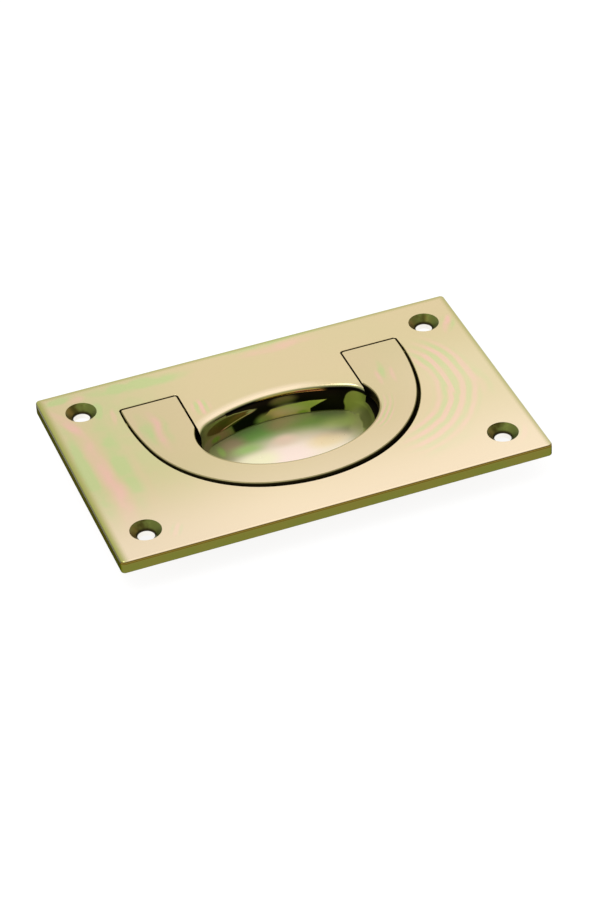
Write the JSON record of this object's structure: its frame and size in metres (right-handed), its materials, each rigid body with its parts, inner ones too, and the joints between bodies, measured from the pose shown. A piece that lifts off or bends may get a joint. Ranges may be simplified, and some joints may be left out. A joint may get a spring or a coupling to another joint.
{
  "type": "flush lift handle",
  "caption": "Rectangular flush plate with a horseshoe lift handle that hinges up out of its own pocket over a finger well, and countersunk corner holes",
  "frame": {"origin": "centre of the screw holes on the plate's back, which seats on the work", "axes": "+Z out of the front face, +X along the plate's long side, +Y towards the hinge of the handle"},
  "size_m": [0.102, 0.0636, 0.0094],
  "materials": {
    "plate_brass": "polished face, satin inside the well",
    "handle_brass": "polished",
    "pin_brass": "drawn bar, end filed flush"
  },
  "bodies": {
    "plate": {"front_plate": "plate_brass", "left_hinge_pin": "pin_brass", "right_hinge_pin": "pin_brass"},
    "handle": {"handle": "handle_brass"}
  },
  "joints": [
    {"name": "handle_hinge", "type": "hinge", "parent": "plate", "child": "handle", "pos_m": [0, 0.0155, 0.0016], "axis": [-1, 0, 0], "range_deg": [0, 90]}
  ]
}
